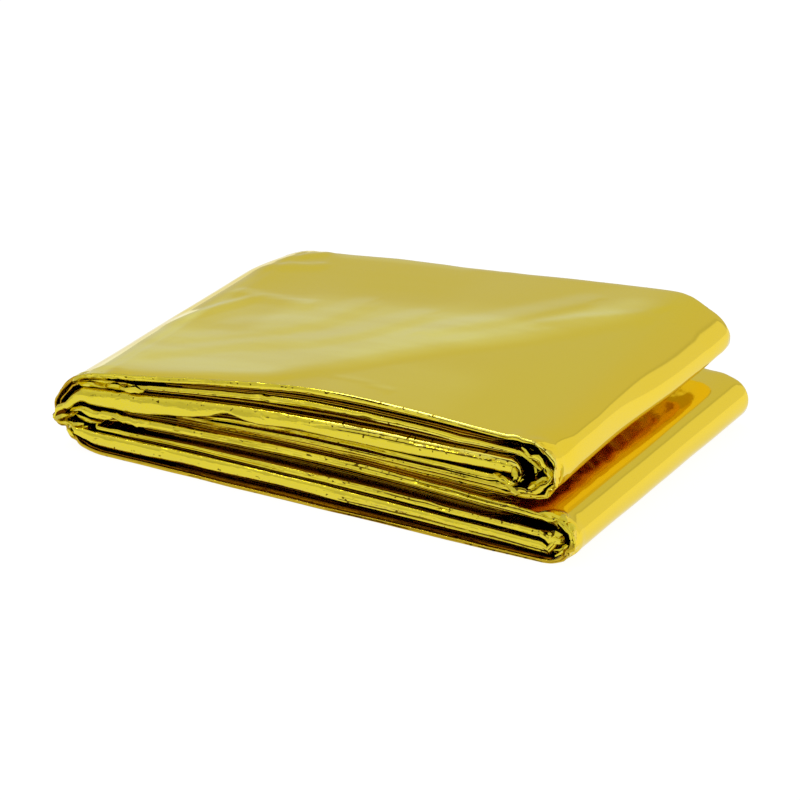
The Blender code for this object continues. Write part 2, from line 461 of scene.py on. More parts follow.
def frontSway(place):
    x, y, z = place
    inward = -frontY - abs(y)
    fade = clamp(1 - inward / sway["reach"]) ** 2
    if fade <= 0:
        return Vector()
    tall, seed = sway["alongDraw"]
    dy = noise.noise(Vector((x * sway["waves"], z * tall, seed))) * sway["along"]
    slower, tall, seed = sway["upDraw"]
    dz = noise.noise(Vector((x * sway["waves"] * slower, z * tall, seed))) * sway["up"]
    moved = Vector((0, dy, dz)) * fade
    near = clamp(1 - inward / sway["kinkReach"])
    if near > 0:
        squeezed = Vector([value / size for value, size in zip(place, sway["kinkSize"])])
        calm = 1 - within(place, sway["topCalm"])
        if y > 0:
            calm *= 1 - within(place, sway["rearCalm"])
        moved += facets(squeezed, 1.0, sway["kinkSeed"]) * sway["kink"] * near * calm
    moved.x = 0
    moved.z *= z / (z + sway["floorEase"])
    return moved


# where the film is crumpled: middle, reach on each axis, facet size, how far it moves
Crumple = namedtuple("Crumple", "x y z reachX reachY reachZ size amount seed")
crumples = (
    Crumple(-62, frontY, 8, 9, 7, 14, 2.6, 0.55, 3),
    Crumple(-61, frontY, 6, 7, 5, 7, 1.5, 0.55, 4),
    Crumple(-50, frontY, 9, 12, 5, 3, 1.8, 0.6, 5),
    Crumple(-47, frontY, 18.0, 9, 4, 2.5, 1.8, 0.6, 11),
    Crumple(-46.5, frontY, 14.5, 5, 4, 3.5, 2.6, 0.6, 13),
    Crumple(58, frontY, 20, 8, 7, 11, 2.4, 0.9, 21),
    Crumple(58, frontY, 20, 7, 5, 10, 1.3, 0.45, 22),
    Crumple(49, frontY, 16, 5, 4, 3, 1.8, 0.7, 23),
    Crumple(62.5, frontY, 7, 6.5, 7, 9, 2.4, 1.0, 35),
    Crumple(62.5, frontY, 7, 6, 5, 8, 1.3, 0.45, 36),
    Crumple(-11, frontY, 23, 6, 3, 2.2, 1.5, 0.45, 47),
    Crumple(-11, frontY, 18, 3, 3, 2.0, 1.3, 0.4, 49),
    Crumple(-57, 43.0, 8, 9, 6, 14, 2.4, 0.6, 61),
    Crumple(-20, 43.0, 12, 12, 4, 9, 2.2, 0.4, 62),
    Crumple(22, 43.0, 10, 14, 4, 9, 2.4, 0.4, 63),
    Crumple(59, 43.0, 8, 8, 6, 9, 2.4, 0.15, 64),
)
crumpling = {
    "edge": 2.0,  # how soon it is at its full, from the edge of its reach
    "floorEase": 2.0,  # nearer the floor than this, it hardly moves up or down
}


def crumpleAt(place):
    total = Vector()
    for spot in crumples:
        away = math.sqrt(
            ((place[0] - spot.x) / spot.reachX) ** 2
            + ((place[1] - spot.y) / spot.reachY) ** 2
            + ((place[2] - spot.z) / spot.reachZ) ** 2
        )
        if away < 1:
            moved = facets(place, spot.size, spot.seed) * spot.amount
            total += moved * smooth((1 - away) * crumpling["edge"])
    total.z *= smooth(place[2] / crumpling["floorEase"])
    return total


# single dents in the front edges: middle, reach, and how far it moves there
Dent = namedtuple("Dent", "x z reachX reachZ dy dz")
dents = (
    Dent(37, 24.1, 3.0, 1.2, 1.0, -0.9),
    Dent(51.5, 27.2, 1.2, 1.2, 0.3, 0.35),
    Dent(-20, 16.5, 3.0, 1.5, 0.4, 0.3),
    Dent(15, 23.6, 1.5, 1.0, 0.3, 0.2),
    Dent(-13, 26.0, 1.0, 0.8, 0.0, 0.25),
    Dent(30, 7.3, 2.5, 0.9, 0.3, 0.15),
    Dent(51, 6.9, 2.0, 1.0, -0.4, 0.3),
)
dentDepth = 5.0  # how far behind the front edge a dent reaches
dentEdge = 6.0  # where it ends, as the square of its reaches


def dentAt(place):
    moved = Vector()
    inward = place[1] - frontY
    if inward < dentDepth:
        for dent in dents:
            away = ((place[0] - dent.x) / dent.reachX) ** 2 + ((place[2] - dent.z) / dent.reachZ) ** 2
            if away < dentEdge:
                moved += Vector((0, dent.dy, dent.dz)) * math.exp(-away) * smooth(1 - inward / dentDepth)
    return moved


# soft creases on the top: the crest line, how high it is, how wide on the near and the far side
Crease = namedtuple("Crease", "path height near far")
mainCrest = ((-46, -40), (-30, -39), (-14, -36), (-3, -27), (5, -16), (15, -5), (25, 5), (34, 15), (44, 27))
creases = (
    Crease(mainCrest, 0.42, 8, 20),
    Crease(((-47, -28), (-30, -19), (-15, -14.5), (-8, -8), (0, 7)), 0.28, 6, 8),
    Crease(((-46, -19), (-38, -15.5), (-25, -9)), 0.22, 4, 6),
    Crease(((-38, -8), (-21, -3), (-17, 10)), 0.22, 6, 8),
    Crease(((-51, 12.5), (-40, 10.5), (-30, 8.5)), 0.22, 4, 3),
    Crease(((-56, -9), (-51, 0), (-46, 8.5)), 0.32, 4, 3),
    Crease(((-55, 30), (-42, 34)), 0.26, 4, 3),
    Crease(((-53, 37), (-46, 42)), 0.24, 3, 2.5),
    Crease(((8, 0), (20, 14), (30, 28)), 0.22, 5, 8),
    Crease(((27, 13), (36, 20.5), (45, 26.5)), 0.16, 3, 4),
    Crease(((0.5, -33), (8, -33.6), (17, -36)), 0.08, 1.2, 1.6),
    Crease(((-50, -41), (-30, -39.5), (-10, -38)), 0.12, 3, 5),
)
creaseFade = (1.0, (xAxis, -60, 8), (xAxis, 54, -6))


def nearestOn(path, x, y):
    # the distance to a line, and to the side of it: more than 0 on its far side
    best = None
    for (x1, y1), (x2, y2) in zip(path, path[1:]):
        dx, dy = x2 - x1, y2 - y1
        length = math.hypot(dx, dy)
        share = clamp(((x - x1) * dx + (y - y1) * dy) / length ** 2)
        away = math.hypot(x - x1 - share * dx, y - y1 - share * dy)
        side = (dx * (y - y1) - dy * (x - x1)) / length
        if best is None or away < best[0]:
            best = (away, side)
    return best


def creaseHeight(x, y):
    total = 0.0
    for crease in creases:
        away, side = nearestOn(crease.path, x, y)
        wide = crease.far if side > 0 else crease.near
        total += crease.height * smooth(1 - away / wide)
    return total


# painted sheen over the top: where it is paler in colour and has more clear coat
paintedSheenArea = {
    "near": -9.0,  # from where beside the main crest the painted sheen grows, in mm
    "over": 13.0,
    "amount": 0.95,
    "rear": (1.0, (yAxis, 2, 22)),  # it fades towards the rear edge
    "crest": 0.55,  # what stays of it along the crest
    "crestFade": (12, -8),
    "spine": (0.45, (xAxis, -30, -8), (yAxis, -16, 10)),  # how much less there is near the spine
    "front": (0.13, (yAxis, -12, -12), (xAxis, 38, -12)),  # a trace of it near the front on the right
    "line": (0.55, (yAxis, 38.5, 3), (xAxis, -2, -6), (xAxis, -46, 8)),  # a line along the rear edge
    "top": (1.0, (xAxis, 50, -12), (xAxis, -54, 3), (yAxis, -43, 3)),
    "strip": (1.05, (xAxis, -50.2, -2.6), (yAxis, 28, -8)),  # a strip of painted sheen beside the spine
    "stripRear": 0.35,  # what there is of it towards the rear
    "stripFront": (0.65, (yAxis, 2, -8)),  # and how much more at the front
    "less": (0.22, (xAxis, 6, -12)),  # how much less painted sheen and coat there is on the rising left half,
    "rim": (1.3, (xAxis, -55.6, -2)),  # on the spine's rim
    "rimRear": (0.4, (xAxis, -55.6, -2), (yAxis, -10, 10)),  # and more of that towards the rear
    "slope": 4.5,  # how much painted sheen a slope that leans away gets
    "slopeRange": (-0.12, 0.5),
    "step": 1.0,  # the slope is taken over this distance each way,
    "away": (-0.495, 0.868),  # in the direction away from the camera
    "range": (-1.2, 1.0),
}


def paintedSheenAt(x, y, name):
    # painted sheen, a paler colour with more of the clear film's coat: on slopes that lean away, and softly
    # over the middle of the top
    if name != "upper1":
        return 0.0
    spot = (x, y)
    side = math.copysign(*nearestOn(mainCrest, x, y))
    deep = 1 - within(spot, paintedSheenArea["rear"])
    nearCrest = paintedSheenArea["crest"] * rising(side, *paintedSheenArea["crestFade"])
    band = rising(side, paintedSheenArea["near"], paintedSheenArea["over"]) * max(deep, nearCrest)
    band *= (1 - within(spot, paintedSheenArea["spine"])) * paintedSheenArea["amount"]
    (offX, offY), step = paintedSheenArea["away"], paintedSheenArea["step"]
    fall = creaseHeight(x - offX * step, y - offY * step) - creaseHeight(x + offX * step, y + offY * step)
    slope = clamp(fall / (2 * step) * paintedSheenArea["slope"], *paintedSheenArea["slopeRange"])
    paintedSheen = clamp(max(band, within(spot, paintedSheenArea["front"]), within(spot, paintedSheenArea["line"])) + slope)
    paintedSheen *= within(spot, paintedSheenArea["top"])
    paintedSheen += within(spot, paintedSheenArea["strip"]) * (paintedSheenArea["stripRear"] + within(spot, paintedSheenArea["stripFront"]))
    for effect in ("less", "rim", "rimRear"):
        paintedSheen -= within(spot, paintedSheenArea[effect])
    return clamp(paintedSheen, *paintedSheenArea["range"])


# slanted wrinkles on the two faces that look at each other across the open gap
valley = {
    "depth": (0.3, (xAxis, 22, 18), (xAxis, 61, -5)),  # they grow towards the loops
    "spacing": 2.9,
    "slant": 0.5,
    "faces": {"lower1": (1.0, 0.35), "upper6": (-1.0, 1.0)},  # which side of the pass, and how deep
    "coarse": (0.06, 4.4),  # slower along the pack, and the seed
    "fine": (0.6, 2.3, 0.12, 7.1),  # the same, after how deep and how much closer
}


def valleyWrinkle(place, name, up):
    faced, share = valley["faces"].get(name, (0.0, 0.0))
    if up * faced <= 0:
        return Vector()
    slid = (place[1] + valley["slant"] * place[0]) / valley["spacing"]
    slower, seed = valley["coarse"]
    waves = noise.noise(Vector((slid, place[0] * slower, seed + faced)))
    deep, closer, slower, seed = valley["fine"]
    waves += deep * noise.noise(Vector((slid * closer, place[0] * slower, seed)))
    return Vector((0, 0, waves * share * within(place, valley["depth"])))


# tiny nicks along the front edges, where the film is pinched
nicks = {
    "length": 0.9,  # size of the cells that may each hold one
    "tall": 1.2,
    "chance": 0.10,
    "depth": 0.26,
    "spread": 0.7,  # how far from the middle of the edge they sit, as a share of its half
    "wide": 0.18,
    "seed": 5.0,
}


def nickAt(place, corner):
    if corner.edge == 0 or place[1] > 0:
        return Vector()
    cell = (math.floor(place[0] / nicks["length"]), math.floor(place[2] / nicks["tall"]), nicks["seed"])
    drawn = noise.cell_vector(Vector(cell) + Vector((0.5, 0.5, 0.5)))
    if drawn.x > nicks["chance"]:
        return Vector()
    middle = (drawn.y * 2 - 1) * nicks["spread"]
    return Vector((0, nicks["depth"] * math.exp(-((corner.u - middle) / nicks["wide"]) ** 2), 0))


# painted highlight along the top of these bands' edges on the right: a paler colour, and more clear coat,
# which glints in the lamp's light
glint = {
    "bands": ("upper1", "upper2", "upper3"),
    "amount": (0.6, (xAxis, 2, 12)),
    "edge": (0.3, 0.3),
}


def glintAt(place, name, u):
    if name not in glint["bands"]:
        return 0.0
    return within(place, glint["amount"]) * rising(u, *glint["edge"])


# where painted shade draws dark lines between film edges: over the upper half of each edge, more of them on
# the right
striping = {
    "middle": 0.45,  # on the height of the edge, from -1 to 1
    "wide": 0.35,
    "least": 0.05,
    "more": (0.95, (xAxis, 2, 12)),
}


def stripedAt(place, corner):
    if corner.edge == 0:
        return 0.0
    upper = math.exp(-((corner.u - striping["middle"]) / striping["wide"]) ** 2)
    return (striping["least"] + within(place, striping["more"])) * upper


# how deep in the shade of the others a place lies
shade = {
    "edges": {"lower6": 0.6, "lower5": 0.35, "lower2": 0.35, "upper6": 0.25, "upper5": 0.15},
    "spineBands": ("lower6", "upper1", "upper2", "lower5"),
    "spine": (0.8, (xAxis, -56, -4)),
    "tip": (0.9, (xAxis, -61, -2), (zAxis, 6.6, -1.5)),
    "gap": (1.0, (xAxis, 22, -14)),
    "corner": (0.75, (xAxis, -50, -6), (yAxis, -37, -4), (zAxis, 17, -3)),
}


# painted shade: the colour goes towards the deep gold between the layers
def paintedShadeAt(place, name, edge, outer):
    if edge:
        atSpine = within(place, shade["spine"]) if name in shade["spineBands"] else 0.0
        below = within(place, shade["tip"]) if name == "lower4" else 0.0
        return max(shade["edges"].get(name, 0.0), atSpine, below)
    if not outer:
        return 1.0
    return within(place, shade["gap" if name in valley["faces"] else "corner"])


Mark = namedtuple("Mark", "fold edge pale inner striped")


def stripMesh():
    points = stripPoints()
    firstInner = next(n for n, point in enumerate(points) if point.name == "upper5")
    fine, coarse = skinSpans(), outline["innerSpans"]
    verts, rings, marks = [], [], []
    travelled = 0.0
    for n, (point, normal) in enumerate(zip(points, sectionNormals(points))):
        if n:
            travelled += math.hypot(point.x - points[n - 1].x, point.z - points[n - 1].z)
        layer = list(passes).index(point.name) * outline["layerStep"]
        corners = ringCorners(point, fine if n < firstInner else coarse, coarse, frontPointsOf(point.name))
        ring = []
        for corner in corners:
            share = corner.y / strip["width"] + 0.5
            up = normal[1] * corner.out
            x = point.x + normal[0] * corner.out + point.rear * share
            place = Vector((x, corner.y, point.z + up + point.lift * share))
            if point.name in hems and up < 0:
                fade = clamp(1 - (corner.y - frontY) / hemReach) ** 2
                place.z -= held(point.x, hems[point.name], hemX) * fade * abs(corner.u)
            if point.name == "upper1" and normal[1] > outline["upwards"]:
                place.z += creaseHeight(place.x, place.y) * within(place, creaseFade)
            if point.name in flare["bands"]:
                place += flareAt(place)
            place += valleyWrinkle(place, point.name, up) + nickAt(place, corner)
            # painted highlight on the front edges, painted sheen on the top
            if corner.edge:
                paintedSheen = glintAt(place, point.name, corner.u)
            else:
                paintedSheen = paintedSheenAt(place.x, place.y, point.name)
            place += cornerShape(place) + endWave(place)
            place += frontSway(place) + crumpleAt(place) + dentAt(place)
            ring.append(len(verts))
            verts.append(place)
            outer = n < firstInner and corner.key <= 1
            inner = paintedShadeAt(place, point.name, corner.edge, outer)
            fold = (travelled, corner.out, layer)
            marks.append(Mark(fold, corner.edge, paintedSheen, inner, stripedAt(place, corner)))
        rings.append((ring, [corner.key for corner in corners]))
    return verts, rings, marks


lastKey = 4.0  # where a ring closes


def keyAfter(keys, n):
    if n + 1 < len(keys):
        return keys[n + 1]
    return lastKey if n < len(keys) else math.inf


def zipped(one, two):
    # triangles between two rings with different numbers of corners
    (ringA, keysA), (ringB, keysB) = one, two
    i = j = 0
    faces = []
    while i < len(ringA) or j < len(ringB):
        a, b = ringA[i % len(ringA)], ringB[j % len(ringB)]
        if keyAfter(keysA, i) <= keyAfter(keysB, j):
            i += 1
            faces.append((a, ringA[i % len(ringA)], b))
        else:
            j += 1
            faces.append((a, ringB[j % len(ringB)], b))
    return faces


def linked(name, data):
    made = bpy.data.objects.new(name, data)
    bpy.context.scene.collection.objects.link(made)
    return made


def buildBlanket(name, material):
    verts, rings, marks = stripMesh()
    faces = []
    for one, two in zip(rings, rings[1:]):
        if len(one[0]) == len(two[0]):
            a, b = one[0], two[0]
            for n in range(len(a)):
                m = (n + 1) % len(a)
                faces.append((a[n], a[m], b[m], b[n]))
        else:
            faces += zipped(one, two)
    faces += [tuple(rings[0][0][::-1]), tuple(rings[-1][0])]
    onFloor = Vector((0, 0, min(place.z for place in verts)))
    mesh = bpy.data.meshes.new(name)
    mesh.from_pydata([(place - onFloor) * mm for place in verts], [], faces)
    work = bmesh.new()
    work.from_mesh(mesh)
    bmesh.ops.recalc_face_normals(work, faces=work.faces)
    work.to_mesh(mesh)
    work.free()
    folds = [value for mark in marks for value in mark.fold]
    mesh.attributes.new("fold", "FLOAT_VECTOR", "POINT").data.foreach_set("vector", folds)
    for field in Mark._fields[1:]:
        values = [getattr(mark, field) for mark in marks]
        mesh.attributes.new(field, "FLOAT", "POINT").data.foreach_set("value", values)
    mesh.shade_smooth()
    mesh.set_sharp_from_angle(angle=math.radians(outline["sharp"]))
    mesh.materials.append(material)
    print(name, "has", len(verts), "points and", sum(len(face) - 2 for face in faces), "triangles")
    return linked(name, mesh)


class Wire:
    # wraps a socket, so that shader maths reads as plain expressions
    def __init__(self, recipe, socket):
        self.recipe = recipe
        self.socket = socket

    def math(self, operation, a, b):
        return self.recipe.wire("ShaderNodeMath", {"operation": operation}, {0: a, 1: b})

    def __add__(self, other):
        return self.math("ADD", self, other)

    def __sub__(self, other):
        return self.math("SUBTRACT", self, other)

    def __rsub__(self, other):
        return self.math("SUBTRACT", other, self)

    def __mul__(self, other):
        return self.math("MULTIPLY", self, other)

    __radd__ = __add__
    __rmul__ = __mul__

    def ramp(self, low, high):
        # 0 below low, 1 above high, and smooth between
        settings = {"interpolation_type": "SMOOTHSTEP"}
        limits = {"Value": self, "From Min": low, "From Max": high}
        return self.recipe.wire("ShaderNodeMapRange", settings, limits)

    def parts(self):
        made = self.recipe.node("ShaderNodeSeparateXYZ", {}, {"Vector": self})
        return [Wire(self.recipe, socket) for socket in made.outputs]


class Recipe:
    # fills one node tree; every node is made by node()
    def __init__(self, tree):
        self.tree = tree

    def node(self, kind, settings=None, sockets=None):
        made = self.tree.nodes.new(kind)
        for name, value in (settings or {}).items():
            setattr(made, name, value)
        for key, value in (sockets or {}).items():
            if isinstance(value, Wire):
                self.tree.links.new(value.socket, made.inputs[key])
            else:
                made.inputs[key].default_value = value
        return made

    def wire(self, kind, settings=None, sockets=None, out=0):
        return Wire(self, self.node(kind, settings, sockets).outputs[out])

    def blend(self, share, one, two):
        settings = {"data_type": "RGBA"}
        return self.wire("ShaderNodeMix", settings, {"Factor": share, 6: one, 7: two}, out=2)

    def scaled(self, vector, amount):
        return self.wire("ShaderNodeVectorMath", {"operation": "SCALE"}, {0: vector, "Scale": amount})

    def attribute(self, name, out=2):
        return self.wire("ShaderNodeAttribute", {"attribute_name": name}, out=out)

    def grain(self, vector, scale, detail):
        return self.wire("ShaderNodeTexNoise", {}, {"Vector": vector, "Scale": scale, "Detail": detail})

    def stretched(self, vector, scale, detail, turn=0.0):
        # grain that is drawn out along the axes of a vector
        sockets = {"Vector": vector, "Rotation": (0, 0, turn), "Scale": scale}
        return self.grain(self.wire("ShaderNodeMapping", {}, sockets), 1.0, detail)


foil = {
    "gold": (0.84, 0.65, 0.013, 1.0),
    "loopGold": (0.86, 0.63, 0.012, 1.0),  # deeper, where the loops turn
    "loopFrom": (0.046, 0.060),  # where along the pack they do, in metres
    # painted shade: the front edges take a darker, greener copy of the gold
    "shadedEdgeGold": (0.70, 0.58, 0.014, 1.0),
    "paintedSheenGold": (1.0, 0.90, 0.14, 1.0),  # painted sheen, where the film leans back or is creased
    "paintedShadeGold": (0.44, 0.24, 0.005, 1.0),  # painted shade, deep between the layers
    "rimTint": (0.82, 0.78, 0.45, 1.0),  # what the metal keeps of its colour at a grazing angle
    "paintedGapShadeGold": (0.10, 0.06, 0.004, 1.0),  # painted shade in the thin gaps between film edges
    "coat": 0.6,  # how much of the clear film shows over the metal
    "deepCoat": 0.8,  # how much less deep between the layers
    "roughness": 0.09,
    "coatRoughness": 0.06,
    "filmIndex": 1.55,
    "wrinkle": 0.05,  # depth of the small relief, in mm
    "broad": (60.0, 2.0),  # scale and detail of its parts
    "fine": (900.0, 3.0),
    "stripes": ((0.05, 3.4, 1.0), 2.0),
    "crinkles": ((0.42, 1.1, 1.3), 3.0),
    "broadShare": 0.3,  # and how much of each there is
    "fineShare": 0.05,
    "stripeShare": 0.5,
    "crinkle": 3.0,
    "calm": 0.9,  # the glints stay smooth
    "lines": ((0.03, 2.4, 1.7), 1.5),  # painted shade: dark lines between the films
    "dashes": ((0.9, 1.2, 2.3), 2.0),  # they are broken up by these
    "broken": 0.16,
    "more": 0.20,  # how many more painted dark lines there are where the film is striped
    "lineLimits": (0.73, 0.78),
    "lineWhere": (0.04, 0.3),
    "tickLimits": (0.635, 0.66),  # short painted dark ticks, where the dashes are strongest
    "tickWhere": (0.02, 0.045),
    "streak": ((22, 110, 1), 2.0, -0.62),  # soft streaks in the painted sheen, along the main crest
    "streakLimits": (0.25, 0.75),
    "streakRange": (0.6, 0.7),
}


def foilMaterial():
    material = bpy.data.materials.new("goldFoil")
    material.use_nodes = True
    tree = material.node_tree
    tree.nodes.clear()
    recipe = Recipe(tree)
    place = recipe.wire("ShaderNodeTexCoord", out=3)
    fold = recipe.attribute("fold", out=1)
    edge, paintedSheen, inner, striped = (recipe.attribute(field) for field in Mark._fields[1:])
    stripes = recipe.stretched(fold, *foil["stripes"]) * foil["stripeShare"]
    crinkles = recipe.stretched(fold, *foil["crinkles"]) * foil["crinkle"]
    relief = recipe.grain(place, *foil["broad"]) * foil["broadShare"]
    relief += recipe.grain(place, *foil["fine"]) * foil["fineShare"]
    relief += (stripes + crinkles) * edge * (1 - paintedSheen * foil["calm"])
    depth = {"Strength": 1.0, "Distance": foil["wrinkle"] * mm, "Height": relief}
    lines = recipe.stretched(fold, *foil["lines"])
    dashes = recipe.stretched(fold, *foil["dashes"])
    drawn = (lines + striped * foil["more"] + dashes * foil["broken"]).ramp(*foil["lineLimits"])
    drawn = drawn * edge * striped.ramp(*foil["lineWhere"])
    ticks = dashes.ramp(*foil["tickLimits"]) * striped.ramp(*foil["tickWhere"])
    drawn = drawn + ticks * (1 - drawn)
    over, least = foil["streakRange"]
    paintedSheen = paintedSheen * (recipe.stretched(place, *foil["streak"]).ramp(*foil["streakLimits"]) * over + least)
    onLoop = place.parts()[0].ramp(*foil["loopFrom"])
    colour = recipe.blend(onLoop, foil["gold"], foil["loopGold"])
    # painted shade on the front edges, painted sheen and highlight, painted shade between the layers and in
    # the gaps between films
    for share, tone in ((edge, "shadedEdgeGold"), (paintedSheen, "paintedSheenGold"), (inner, "paintedShadeGold"), (drawn, "paintedGapShadeGold")):
        colour = recipe.blend(share, colour, foil[tone])
    coat = (paintedSheen * (1 - foil["coat"]) + foil["coat"]) * (1 - inner * foil["deepCoat"]) * (1 - drawn)
    surface = {
        "Base Color": colour,
        "Metallic": 1.0,
        "Roughness": foil["roughness"],
        "Specular Tint": foil["rimTint"],
        "Coat Weight": coat,
        "Coat Roughness": foil["coatRoughness"],
        "Coat IOR": foil["filmIndex"],
        "Normal": recipe.wire("ShaderNodeBump", {}, depth),
    }
    shader = recipe.node("ShaderNodeBsdfPrincipled", {}, surface)
    output = recipe.node("ShaderNodeOutputMaterial")
    tree.links.new(shader.outputs[0], output.inputs[0])
    print("foil material has", len(tree.nodes), "nodes")
    return material


# loose film edges in the gaps: between which two passes, how many, from where to where along the pack
Gap = namedtuple("Gap", "above below count left right")
gaps = (
    Gap("upper1", "upper2", 4, -46, 54),
    Gap("upper2", "upper3", 5, -50, 52),
    Gap("upper3", "upper4", 2, -30, 46),
    Gap("upper3", "lower1", 6, -52, -20),
    Gap("upper4", "upper5", 2, -26, 48),
    Gap("upper5", "upper6", 1, -26, 48),
    Gap("upper6", "lower1", 5, -48, 54),
    Gap("lower1", "lower2", 4, -54, 55),
    Gap("lower2", "lower3", 4, -52, 54),
    Gap("lower3", "lower4", 1, -52, 56),
    Gap("lower4", "lower5", 3, -54, 57),
    Gap("lower5", "lower6", 2, -50, 55),
)

rearGaps = (
    Gap("upper1", "upper2", 2, -44, 46),
    Gap("upper2", "upper3", 2, -44, 44),
    Gap("upper3", "upper4", 2, -26, 44),
    Gap("upper4", "upper5", 1, -26, 44),
    Gap("lower1", "lower2", 3, -46, 50),
    Gap("lower2", "lower3", 2, -46, 50),
    Gap("lower3", "lower4", 1, -46, 50),
    Gap("lower4", "lower5", 2, -46, 50),
)

Film = namedtuple("Film", "above below share left right setback thick shade")
filmEdges = {
    "draw": 3,
    "scatter": (-0.25, 0.25),  # how unevenly the films share a gap
    "leftEnd": (0, 0.16),  # how far in they end, as a share of their length
    "rightEnd": (0, 0.10),
    "setback": (1.2, 3.4),  # behind the front of the layers, in mm
    "followFront": 0.5,  # how far they step back with the layers
    "shade": (0.35, 1.0),  # how much painted shade a film gets: 1 is the colour deep between the layers
    "thick": (0.20, 0.42),
    "step": 1.3,  # spacing of the points along a film, in mm
    "taper": 3,  # its ends are tapered over this length,
    "endThick": 0.35,  # to this share of its thickness,
    "endBack": 1.2,  # and set back by this much
    "flatness": 9.0,  # depth of the film's section over its thickness
    "ripple": 0.16 * mm,
    "rippleSize": 120.0,
    "seed": 4.0,
    "corners": 14,  # points round the section
    "follow": 1.0,  # how far the films follow the crumpling of the layers
}


def filmRows(gaps):
    chance = random.Random(filmEdges["draw"])
    rows = []
    for gap in gaps:
        length = gap.right - gap.left
        for n in range(gap.count):
            rows.append(
                Film(
                    gap.above,
                    gap.below,
                    (n + 0.5 + chance.uniform(*filmEdges["scatter"])) / gap.count,
                    gap.left + length * chance.uniform(*filmEdges["leftEnd"]),
                    gap.right - length * chance.uniform(*filmEdges["rightEnd"]),
                    chance.uniform(*filmEdges["setback"]),
                    chance.uniform(*filmEdges["thick"]),
                    chance.uniform(*filmEdges["shade"]),
                )
            )
    return rows


def filmPath(film):
    count = round((film.right - film.left) / filmEdges["step"])
    path = []
    for n in range(count + 1):
        x = mix(film.left, film.right, n / count)
        above, below = passPoint(film.above, x), passPoint(film.below, x)
        z = mix(above.z - above.thick / 2, below.z + below.thick / 2, film.share)
        y = frontY + max(above.front, below.front) * filmEdges["followFront"] + film.setback
        y += film.thick * filmEdges["flatness"] / 2
        full = rising(x, film.left, filmEdges["taper"]) * rising(x, film.right, -filmEdges["taper"])
        half = film.thick / 2 * mix(filmEdges["endThick"], 1.0, full)
        path.append((x, y + (1 - full) * filmEdges["endBack"], z, half, film.shade))
    return path


def rearPath(film):
    # the same along the rear edges, which lift with the layers
    path = []
    for x, y, z, half, shade in filmPath(film):
        above, below = passPoint(film.above, x), passPoint(film.below, x)
        y = -frontY - max(above.back, below.back) - film.setback - half * filmEdges["flatness"]
        place = Vector((x, y, z + mix(above.lift, below.lift, film.share)))
        path.append((*(place + cornerShape(place)), half, shade))
    return path


def filmTree(name, material):
    tree = bpy.data.node_groups.new(name, "GeometryNodeTree")
    face = tree.interface
    face.new_socket("Geometry", in_out="INPUT", socket_type="NodeSocketGeometry")
    for label in ("flatness", "ripple", "rippleSize", "seed"):
        face.new_socket(label, in_out="INPUT", socket_type="NodeSocketFloat")
    face.new_socket("corners", in_out="INPUT", socket_type="NodeSocketInt")
    face.new_socket("Geometry", in_out="OUTPUT", socket_type="NodeSocketGeometry")
    recipe = Recipe(tree)
    given = recipe.node("NodeGroupInput").outputs
    named = {socket.name: Wire(recipe, socket) for socket in given}
    thick = recipe.wire("GeometryNodeInputNamedAttribute", {"data_type": "FLOAT"}, {"Name": "halfThick"})
    path = recipe.wire("GeometryNodeMeshToCurve", {}, {"Mesh": named["Geometry"]})
    path = recipe.wire("GeometryNodeSetCurveNormal", {"mode": "Z_UP"}, {"Curve": path})
    sizes = {"Resolution": named["corners"], "Radius": 1.0}
    circle = recipe.wire("GeometryNodeCurvePrimitiveCircle", {}, sizes)
    wide = recipe.wire("ShaderNodeCombineXYZ", {}, {"X": named["flatness"], "Y": 1.0, "Z": 1.0})
    section = recipe.wire("GeometryNodeTransform", {}, {"Geometry": circle, "Scale": wide})
    sockets = {"Curve": path, "Profile Curve": section, "Scale": thick, "Fill Caps": True}
    band = recipe.wire("GeometryNodeCurveToMesh", {}, sockets)
    here = recipe.wire("GeometryNodeInputPosition")
    sockets = {"Vector": here, "Scale": named["rippleSize"], "W": named["seed"], "Detail": 3.0}
    waves = recipe.wire("ShaderNodeTexNoise", {"noise_dimensions": "4D"}, sockets, out=1)
    middle = (0.5, 0.5, 0.5)
    centred = recipe.wire("ShaderNodeVectorMath", {"operation": "SUBTRACT"}, {0: waves, 1: middle})
    moved = recipe.scaled(centred, named["ripple"])
    band = recipe.wire("GeometryNodeSetPosition", {}, {"Geometry": band, "Offset": moved})
    band = recipe.wire("GeometryNodeSetShadeSmooth", {}, {"Geometry": band})
    folds = recipe.scaled(here, 1 / mm)
    for label, kind, value in (("fold", "FLOAT_VECTOR", folds), ("edge", "FLOAT", 1.0)):
        sockets = {"Geometry": band, "Name": label, "Value": value}
        band = recipe.wire("GeometryNodeStoreNamedAttribute", {"data_type": kind}, sockets)
    band = recipe.wire("GeometryNodeRealizeInstances", {}, {"Geometry": band})
    band = recipe.wire("GeometryNodeSetMaterial", {}, {"Geometry": band, "Material": material})
    output = recipe.node("NodeGroupOutput")
    tree.links.new(band.socket, output.inputs[0])
    return tree


def finished(piece, name):
    # the evaluated piece as a plain mesh, without its modifiers
    view = bpy.context.evaluated_depsgraph_get()
    mesh = bpy.data.meshes.new_from_object(piece.evaluated_get(view))
    bpy.data.objects.remove(piece, do_unlink=True)
    return linked(name, mesh)


